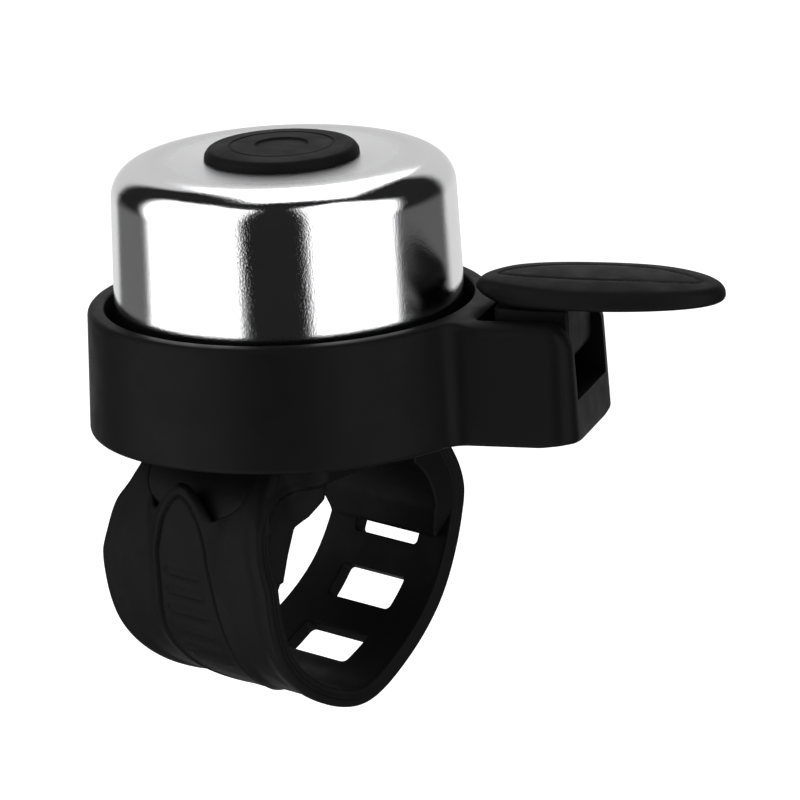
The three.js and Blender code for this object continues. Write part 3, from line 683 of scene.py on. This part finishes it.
def pad_shape():
    """The thumb pad: a crowned oval with a groove round a pointed oval on its top."""
    border = lens(12.9, 3.6, 1.15)
    ridge = Line(PAD_RIDGE).points

    def high(p):
        height = np.interp(p[:, 0], *ridge.T)
        height -= PAD_CROWN * np.clip(np.abs(p[:, 1]) / PAD_HALF, 0, 1.2) ** 2.4
        groove = BORDER_GROOVE * np.exp(-((distance(p, border) / BORDER_GROOVE_HALF) ** 2))
        return height - groove - 0.06 * inside(p, [border])

    def low(p):
        inner = 1.3 * smoothstep((31 - p[:, 0]) / 8)
        outer = 0.2 * smoothstep((p[:, 0] - 41) / 15)
        hull = 0.5 * np.clip(np.abs(p[:, 1]) / PAD_HALF, 0, 1) ** 3
        return PAD_Z + inner + outer + hull

    lines = [border + outward(border) * k * 0.16 for k in range(-3, 4)]
    fine = np.vstack([resampled(line, 0.35) for line in lines])
    edge = Edge(lens((PAD_OUT - PAD_IN) / 2, PAD_HALF, 1.0), 1.1, 0.7, rows=2, step=0.45)
    return slab([edge], high, low, step=0.7, fine=fine)


def on_side(shape):
    """Turns a plate made in x and z, thickened along y, the right way up."""
    verts, faces = shape
    return np.column_stack([verts[:, 0], -verts[:, 2], verts[:, 1]]), faces


def on_end(shape):
    """Turns a plate made in y and z, thickened along x, the right way up."""
    verts, faces = shape
    return np.column_stack([verts[:, 2], verts[:, 0], verts[:, 1]]), faces


def lever_shape():
    """The lever from its side: the stem under the pad, the hub round the pin and the beam into the ring."""
    stem_top, stem_out = PAD_Z - 0.05, PIN_X + HUB_R
    profile = rounded([
        (STEM_IN, stem_top, 0), (STEM_IN, BEAM_HIGH, 1.0),
        (BEAM_IN, BEAM_HIGH, 0.4), (BEAM_IN, BEAM_LOW, 0.4),
        (30.4, BEAM_LOW, 0.8), (31.8, 6.3, 1.2), (31.8, HUB_LOW, 1.0), (33, HUB_LOW, 1.6),
        (stem_out, HUB_LOW, 2.4), (stem_out, stem_top, 0),
    ])
    edge = Edge(profile, 0.45, 0.45, rows=2, step=0.4)
    return on_side(slab([edge], flat(LEVER_HALF), flat(-LEVER_HALF), step=1.0))


# ---- Strap mount ----

BAND_POINTS = [
    (-12.4, 20.2), (-18.4, 11.9), (-20.1, 3.4), (-18.1, -6.2), (-11.7, -12.8), (-2.6, -15.8),
    (6, -12.5), (13.5, -6), (18, 3.2), (18.1, 9.8), (11.6, 20.2),
]
TONGUE_POINTS = [(-19.7, 20), (-20.0, 14.5), (-20.1, 10.3), (-20.15, 7)]
BAND_T = 2.2
BAND_TOP = 17.6
BAND_HALF, BAND_TAPER = 12.85, 0.124  # half the width at the middle, and its loss per mm along y
BEVEL = [(3.5, 15.3), (6.5, 14.2), (10.2, 13.2), (14.5, 11.6), (18.5, 10.9)]  # height, half the width
HOLES = 4
HOLE_FIRST = 11.4  # the first buckle hole's distance from the free end
HOLE_PITCH = 10
HOLE_HALF_LENGTH, HOLE_HALF_WIDTH, HOLE_CORNER_R = 2.6, 5.6, 0.6
RIM_GROOVE, RIM_GROOVE_HALF = 0.12, 0.055  # the two shallow grooves round the rim: mm, share of its height
OVAL_SIDE = [
    (0, 0), (0.5, 1.15), (1.3, 1.95), (3, 3.15), (5, 3.9), (7, 4.4), (10, 4.75), (13, 5.05),
    (17, 5.6), (21, 5.7), (26, 5.05), (30, 3.7), (33, 2), (34.6, 0.8), (35, 0),
]
OVAL_BARS = [(10, 2.5), (12.6, 2.8), (15.2, 3.1), (17.8, 3.3), (20.4, 3.1), (23, 2.8)]
SADDLE_TOP = 17.75
SADDLE_UNDER = 13.9
SADDLE_RIM = [
    (-17, 9.7), (-15.9, 12.1), (-14.1, 13.4), (-11.2, 14), (-7.7, 14.25), (-3, 14.2), (2, 14),
]
LINER_IN, LINER_OUT, LINER_HALF = -6.3, 8.6, 8.5
LINER_LOW, LINER_HIGH = 12.5, 13.6
LINER_RIB, LINER_RIB_PITCH = 0.09, 1.4
HOOK_HALF = 4.8
HOOK_PRONG = (-2.1, 2.1, -3.4, 1.8)  # along the band from and to, off the band's surface from and to
HOOK_LIP = (-2.1, 4.4, 0.6, 1.8)


def half_width(y, z):
    """Half the strap's width: it tapers towards the free end, and the fixed end's corners are bevelled."""
    bevel = np.interp(z, *zip(*BEVEL))
    plain = BAND_HALF - BAND_TAPER * y
    return plain + (bevel - plain) * smoothstep((-7 - y) / 5.5) * (z > BEVEL[0][0])


# The band's line, and the tongue's own, which stands straighter and is longer by the shift.
band = Line(BAND_POINTS)
tongue_line = Line([*TONGUE_POINTS, *BAND_POINTS[2:]])
TONGUE_SHIFT = tongue_line.length - band.length


def fixed_side(z, line=band):
    """Distance along the band at a height, on the side of the fixed end."""
    lowest = int(np.argmin(line.points[:, 1]))
    return float(np.interp(-z, -line.points[:lowest, 1], line.s[:lowest])) - (line.length - band.length)


def free_side(z):
    """Distance along the band at a height, on the side of the free end."""
    lowest = int(np.argmin(band.points[:, 1]))
    return float(np.interp(z, band.points[lowest:, 1], band.s[lowest:]))


def strap_outline():
    """Half of the band's outline, unrolled, as (distance along, x), from the tongue's tip to the free end."""
    tip = [(14.5, 0), (14.4, 0.75), (14.1, 1.4), (13.6, 2), (12.95, 2.75), (12.2, 3.5), (11.3, 4.3)]
    tongue = [(fixed_side(z, tongue_line), x) for z, x in tip]
    window = [(10.25, 5.25, 0.3), (11.6, 7, 1), (13, 8.4, 2), (14.8, 9, 2), (BAND_TOP, 9, 0.4)]
    corner = [(BAND_TOP, 11.3, 0.8), (14.5, 11.8, 4), (10.2, 13.2, 5), (6.5, 14.2, 5), (3.5, 15.25, 4)]
    wall = [(fixed_side(z), x, r) for z, x, r in [*window, *corner]]
    at = np.arange(fixed_side(2), free_side(14), 1.5)
    run = [(s, float(half_width(y, 0)), 0) for s, (y, z) in zip(at, band.at(at)[0])]
    end = [(free_side(BAND_TOP), 11.2, 1.5), (free_side(BAND_TOP), 0, 0)]
    return tongue, [*wall, *run, *end]


def strap_shape():
    """The strap: a band with a grooved rim and buckle holes, and on it the long oval with its bars."""
    tongue, rest = strap_outline()
    half = [*tongue, *rounded([(tongue[-1][0], tongue[-1][1], 0), *rest], closed=False)]
    outline = half + [(s, -x) for s, x in half[-2:0:-1]]
    groove = lambda t, at: math.exp(-(((t - at) / RIM_GROOVE_HALF) ** 2))
    grooved = lambda t: -RIM_GROOVE * (groove(t, 0.36) + groove(t, 0.66))
    fade = lambda p: smoothstep((p[:, 0] - fixed_side(13.2)) / 5)

    def soft(p):
        """The top's rounding: fuller on the corners of the fixed end."""
        high_up = smoothstep((fixed_side(10) - p[:, 0]) / 3)
        return 0.5 + 0.7 * high_up * smoothstep(np.abs(p[:, 1]) - 9.7)

    edges = [Edge(outline, soft, 0.35, grooved, rows=16, step=0.42, weight=fade)]
    for i in range(HOLES):
        s = band.length - (HOLE_FIRST + HOLE_PITCH * i)
        s0, s1, w, r = s - HOLE_HALF_LENGTH, s + HOLE_HALF_LENGTH, HOLE_HALF_WIDTH, HOLE_CORNER_R
        hole = rounded([(s0, -w, r), (s0, w, r), (s1, w, r), (s1, -w, r)])
        edges.append(Edge(hole, 0.2, 0.2, rows=2, step=0.35, hole=True))

    # The long oval: a groove round a flat, inside a soft ridge.
    top_tip = fixed_side(12.95, tongue_line)
    side = Line(OVAL_SIDE).points + (top_tip, 0)
    oval = resampled(np.vstack([side, side[-2:0:-1] * (1, -1)]), 0.5)
    bars = [(top_tip + d, w) for d, w in OVAL_BARS]

    def high(p):
        place = band.at(p[:, 0])[0]
        edge = half_width(place[:, 0], place[:, 1]) - np.abs(p[:, 1])
        d = distance(p, oval)
        within = inside(p, [oval])
        plateau = np.where(within, 1, 1 - smoothstep((d - 0.9) / 0.8))
        height = -0.3 + 0.3 * plateau + 0.4 * (1 - smoothstep((edge - 1.3) / 1.9)) * (1 - plateau) * fade(p)
        height += 0.12 * np.exp(-(((d - 0.5) / 0.3) ** 2)) * ~within
        height -= 0.34 * np.exp(-((d / 0.24) ** 2))
        for s, w in bars:
            reach = np.hypot(p[:, 0] - s, np.maximum(np.abs(p[:, 1]) - w, 0))
            height += 0.26 * (1 - smoothstep((reach - 0.4) / 0.35))
        return height

    def low(p):
        on_tongue = smoothstep((fixed_side(9, tongue_line) - p[:, 0]) / 1.5)
        thin = on_tongue * smoothstep((6.4 - np.abs(p[:, 1])) / 0.8)
        return -BAND_T + 1.1 * thin

    lines = [oval + outward(oval) * k * 0.16 for k in range(-4, 5)]
    fine = [resampled(line, 0.3) for line in lines]
    for s, w in bars:
        gs, gx = np.meshgrid(np.arange(s - 0.8, s + 0.81, 0.2), np.arange(-w - 0.8, w + 0.81, 0.3))
        fine.append(np.column_stack([gs.ravel(), gx.ravel()]))
    verts, faces = slab(edges, high, low, step=0.75, fine=np.vstack(fine), under_step=0.9)

    # Rolled up round the band's line; the tongue stands straighter than the band beside it.
    here, normal = band.at(verts[:, 0])
    up, up_normal = tongue_line.at(verts[:, 0] + TONGUE_SHIFT)
    lift = smoothstep((7.6 - np.abs(verts[:, 1])) / 2.4)[:, None]
    here = here * (1 - lift) + up * lift
    normal = normal * (1 - lift) + up_normal * lift
    normal /= np.linalg.norm(normal, axis=1)[:, None]
    place = here + normal * verts[:, 2:3]
    return np.column_stack([verts[:, 1], place]), faces


def under_band(start, end, depth):
    """Corners of a line under the band at a depth, between two shares of its length."""
    here, normal = band.at(np.linspace(start * band.length, end * band.length, 10))
    return [(y, z, 0) for y, z in here - normal * depth]


def saddle_shape():
    """The saddle, from its end: its plate, the hidden flank and the arm that carries the strap's hook."""
    flank = [(-17, 2.3, 1), (-12.3, 9.2, 0.4), (-9.9, 10.1, 0.5), (-7.3, 11.8, 0.4)]
    under = [(-6.6, SADDLE_UNDER, 0.3), (9, SADDLE_UNDER, 0.6)]
    arm_inside = [*[(y, z, 0) for y, z in arc(3.9, 5.2, 9, 55, 0, 8)], (13.9, 0.9, 0.4)]
    corners = [
        (-12.4, SADDLE_TOP, 0.3), *under_band(0.03, 0.23, BAND_T - 1), *flank, *under, *arm_inside,
        *under_band(0.785, 0.95, BAND_T - 0.25), (9.4, SADDLE_TOP, 0.3),
    ]

    def reach(p):
        """How far the saddle stands out to either side: less below its rim and along the hook's arm."""
        y, z = p.T
        wide = half_width(y, z) - 0.08
        rim = np.interp(y, *zip(*SADDLE_RIM))
        set_in = 0.8 * smoothstep((rim - z) / 0.8) * smoothstep((2 - y) / 3)
        arm = smoothstep((y - 9.2) / 1.4) * smoothstep((13.2 - z) / 1.4)
        return (wide - set_in) * (1 - arm) + np.minimum(wide, 9.6 + 0.4 * np.clip(z - 2, 0, 6)) * arm

    edge = Edge(rounded(corners), 0.4, 0.4, rows=2, step=0.35)
    return on_end(slab([edge], reach, lambda p: -reach(p), step=0.35))


def window_floor():
    """The saddle's face that closes the cut-out in the strap's fixed end, just below the strap's surface."""
    half = [(BAND_TOP - 0.2, 9.4), (14.8, 9.4), (13, 8.9), (11.5, 7.5), (10.1, 5.6)]
    half = [(fixed_side(z), x, 0.6) for z, x in half]
    outline = rounded(half + [(s, -x, r) for s, x, r in half[::-1]])
    verts, faces = slab([Edge(outline, 0.3, 0.2, step=0.4)], flat(-0.4), flat(-3.2), step=0.8)
    here, normal = band.at(verts[:, 0])
    return np.column_stack([verts[:, 1], here + normal * verts[:, 2:3]]), faces


def liner_shape():
    """Rubber liner above the handlebar, with fine ribs along it."""
    profile = rounded([
        (LINER_IN, LINER_LOW, 0.25), (LINER_OUT, LINER_LOW, 0.25), (LINER_OUT, LINER_HIGH, 0.2),
        (LINER_IN, LINER_HIGH, 0.2),
    ])
    edge = Edge(profile, 0.2, 0.2, rows=2, step=0.15)
    verts, faces = on_end(slab([edge], flat(LINER_HALF), flat(-LINER_HALF), step=0.6))
    under = verts[:, 2] < LINER_LOW + 0.2
    verts[under, 2] += LINER_RIB * (1 + np.cos(verts[under, 1] * 2 * math.pi / LINER_RIB_PITCH))
    return verts, faces


def hook_shapes():
    """The hook through the first buckle hole, with its lip turned towards the band's free end."""
    here, normal = band.at(np.array([band.length - HOLE_FIRST]))
    (y, z), (ny, nz) = here[0], normal[0]
    axes = np.array([[0, -nz, ny], [1, 0, 0], [0, ny, nz]])
    shapes = []
    for x0, x1, z0, z1 in (HOOK_PRONG, HOOK_LIP):
        profile = rounded([(x0, z0, 0.2), (x1, z0, 0.4), (x1, z1, 0.5), (x0, z1, 0.4)])
        edge = Edge(profile, 0.3, 0.3, step=0.4)
        verts, faces = on_side(slab([edge], flat(HOOK_HALF), flat(-HOOK_HALF), step=1.0))
        shapes.append((verts @ axes + (0, y, z), faces))
    return shapes


# ---- Camera ----

VIEW_AZIMUTH, VIEW_ELEVATION, VIEW_ROLL = 48, 15.48, 3  # degrees
VIEW_DISTANCE = 889.2
VIEW_LENS = 319.58
ANCHOR_UP = 1.467  # the point that the distance is measured from, on the bell's axis above its swivel
AIM_RIGHT, AIM_UP = 13.17, 0.21  # where the camera looks, from that point


def toward(azimuth, elevation):
    """The direction from the object to a viewer, from an azimuth and elevation in degrees."""
    a, e = math.radians(azimuth), math.radians(elevation)
    return Vector((math.sin(a) * math.cos(e), -math.cos(a) * math.cos(e), math.sin(e)))


def set_camera():
    azimuth, roll = math.radians(VIEW_AZIMUTH), math.radians(VIEW_ROLL)
    right = Vector((math.cos(azimuth), math.sin(azimuth), 0))
    back = toward(VIEW_AZIMUTH, VIEW_ELEVATION)
    up = back.cross(right)
    anchor = Vector((0, 0, (BELL_Z + ANCHOR_UP) * MM))
    aim = anchor + right * AIM_RIGHT * MM + up * AIM_UP * MM
    place = anchor + back * (VIEW_DISTANCE * MM)
    ahead = (aim - place).normalized()
    side = (right * math.cos(roll) - up * math.sin(roll)).normalized()
    side = (side - ahead * side.dot(ahead)).normalized()
    top = side.cross(ahead)
    data = bpy.data.cameras.new("camera")
    data.sensor_width = 36
    data.lens = VIEW_LENS
    data.clip_start, data.clip_end = 0.05, 20
    camera = bpy.data.objects.new("camera", data)
    camera.matrix_world = Matrix((
        (side.x, top.x, -ahead.x, place.x),
        (side.y, top.y, -ahead.y, place.y),
        (side.z, top.z, -ahead.z, place.z),
        (0, 0, 0, 1),
    ))
    bpy.context.scene.collection.objects.link(camera)
    bpy.context.scene.camera = camera


set_camera()


# ---- Pieces ----

piece("dome_shell", dome_shape(), BELL, "bell", "dome", CHROME, crease=50)
piece("cap_shell", cap_shape(), BELL, "bell", "dome_cap", SILICONE)
piece("housing_shell", housing_shape(), BELL, "bell", "ring_housing", PLASTIC,
      cuts=housing_cuts())
piece("thumb_pad_shell", pad_shape(), BELL, "lever", "thumb_pad", SILICONE)
piece("lever_body", lever_shape(), BELL, "lever", "lever", PLASTIC)
piece("strap_band", strap_shape(), ROW, "strap_mount", "strap", SILICONE)
piece("saddle_shell", saddle_shape(), ROW, "strap_mount", "saddle", PLASTIC,
      joins=[window_floor(), *hook_shapes()])
piece("liner", liner_shape(), ROW, "strap_mount", "grip_pad", RUBBER)

slot_of = {s["node"]: s["material_slot"] for s in frame["record"]["subparts"]}
for name, node in nodes.items():
    if not node.hide_render:
        node.data.materials.clear()
        node.data.materials.append(SLOT_MATERIALS[slot_of[name]])


# ---- Floor and light ----

FLOOR_DROP = 0.03  # m, from the object's lowest point


def add_floor():
    bpy.ops.mesh.primitive_plane_add(size=12, location=(0, 0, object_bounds()[0].z - FLOOR_DROP))
    floor = bpy.context.object
    floor.name = "floor"
    material = bpy.data.materials.new("pale_floor")
    material.use_nodes = True
    shader = material.node_tree.nodes["Principled BSDF"]
    shader.inputs["Base Color"].default_value = (0.9, 0.9, 0.9, 1)
    shader.inputs["Roughness"].default_value = 0.9
    shader.inputs["Specular IOR Level"].default_value = 0.0
    shader.inputs["Emission Color"].default_value = (1, 1, 1, 1)
    shader.inputs["Emission Strength"].default_value = 0.5
    floor.data.materials.append(material)
    floor.visible_glossy = False


def softbox(name, azimuth, elevation, away, size, power):
    """A soft light at a direction and distance (m) from the object, measured as the camera's are."""
    back = toward(azimuth, elevation)
    data = bpy.data.lights.new(name, "AREA")
    data.shape = "RECTANGLE"
    data.size, data.size_y = size
    data.energy = power
    light = bpy.data.objects.new(name, data)
    centre = Vector((0.01, 0, 0.02))
    light.location = centre + back * away
    light.rotation_euler = back.to_track_quat("Z", "Y").to_euler()
    light.visible_camera = False
    light.visible_glossy = False
    bpy.context.scene.collection.objects.link(light)


def studio_world():
    """Surroundings of a small product studio: what the polished dome mirrors, and a soft even fill.

    The mirrored side is a dark room with a few bright panels. Directions are measured from the main
    view's side: azimuth to the right of the viewer, and elevation, in degrees.
    """
    world = bpy.data.worlds.new("studio")
    bpy.context.scene.world = world
    world.use_nodes = True
    tree = world.node_tree
    tree.nodes.clear()
    new, link = tree.nodes.new, tree.links.new
    bright = 1.9  # strength of the two side panels
    edge = 1.5  # degrees over which their edges fade, to either side

    def calc(operation, a, b=0.0):
        node = new("ShaderNodeMath")
        node.operation = operation
        for socket, value in zip(node.inputs, (a, b)):
            if isinstance(value, (int, float)):
                socket.default_value = value
            else:
                link(value, socket)
        return node.outputs[0]

    def above(value, limit, soft):
        """1 where a value is over a limit, 0 under it, with a soft step."""
        node = new("ShaderNodeMapRange")
        node.interpolation_type = "SMOOTHSTEP"
        node.inputs["From Min"].default_value = limit - soft
        node.inputs["From Max"].default_value = limit + soft
        link(value, node.inputs["Value"])
        return node.outputs["Result"]

    def below(value, limit, soft):
        return calc("SUBTRACT", 1.0, above(value, limit, soft))

    def panel(strength, *sides):
        light = strength
        for side in sides:
            light = calc("MULTIPLY", side, light)
        return light

    direction = new("ShaderNodeSeparateXYZ")
    link(new("ShaderNodeTexCoord").outputs["Generated"], direction.inputs[0])
    x, y, z = direction.outputs
    turn = math.radians(VIEW_AZIMUTH)
    across = calc("ADD", calc("MULTIPLY", x, math.cos(turn)), calc("MULTIPLY", y, math.sin(turn)))
    front = calc("SUBTRACT", calc("MULTIPLY", x, math.sin(turn)), calc("MULTIPLY", y, math.cos(turn)))
    azimuth = calc("MULTIPLY", calc("ARCTAN2", across, front), 180 / math.pi)
    elevation = calc("MULTIPLY", calc("ARCSINE", z), 180 / math.pi)
    leaning = lambda slope: calc("ADD", azimuth, calc("MULTIPLY", elevation, slope))

    left = panel(bright, above(leaning(0.27), -106, edge), below(azimuth, -32, edge),
                 below(elevation, 61, edge), above(leaning(-1.67), -195, 2))
    right = panel(bright, above(azimuth, 15.5, edge), below(leaning(-0.27), 78, edge),
                  below(leaning(0.7), 107, 2), below(elevation, 64, edge))
    # The pale wall behind the object: a disc of directions about one almost straight behind it.
    centre, spread = math.radians(173), math.radians(42)
    behind_side = calc("SUBTRACT", calc("MULTIPLY", across, math.sin(centre)),
                       calc("MULTIPLY", front, -math.cos(centre)))
    behind = panel(0.62, above(behind_side, math.cos(spread), 0.012))
    # Overhead panel, measured on a level plane one unit up.
    high = calc("MAXIMUM", z, 0.05)
    over_x, over_y = calc("DIVIDE", across, high), calc("DIVIDE", front, high)
    overhead = panel(1.7, above(over_x, -0.2, 0.02), below(over_x, 0.45, 0.02), above(over_y, -1.85, 0.05),
                     below(over_y, -0.04, 0.02), above(z, 0.3, 0.05))
    low_down = below(elevation, -4, 8)
    dark_left = panel(0.13, below(azimuth, -60, 10), low_down)
    dark_right = panel(0.1, above(azimuth, 60, 10), low_down)
    total = 0.016
    for light in (left, right, behind, overhead, dark_left, dark_right):
        total = calc("ADD", light, total)
    mirrored = new("ShaderNodeBackground")
    link(total, mirrored.inputs["Color"])
    fill = new("ShaderNodeBackground")
    fill.inputs["Color"].default_value = (1, 1, 1, 1)
    fill.inputs["Strength"].default_value = 0.55
    rays = new("ShaderNodeLightPath")
    choose = new("ShaderNodeMixShader")
    link(rays.outputs["Is Glossy Ray"], choose.inputs["Fac"])
    link(fill.outputs[0], choose.inputs[1])
    link(mirrored.outputs[0], choose.inputs[2])
    out = new("ShaderNodeOutputWorld")
    link(choose.outputs[0], out.inputs["Surface"])


add_floor()
studio_world()
softbox("key", 10, 45, 0.7, (0.5, 0.5), 3.0)
softbox("side", 110, 30, 0.8, (0.5, 0.6), 1.2)
bpy.context.scene.view_settings.view_transform = "Standard"
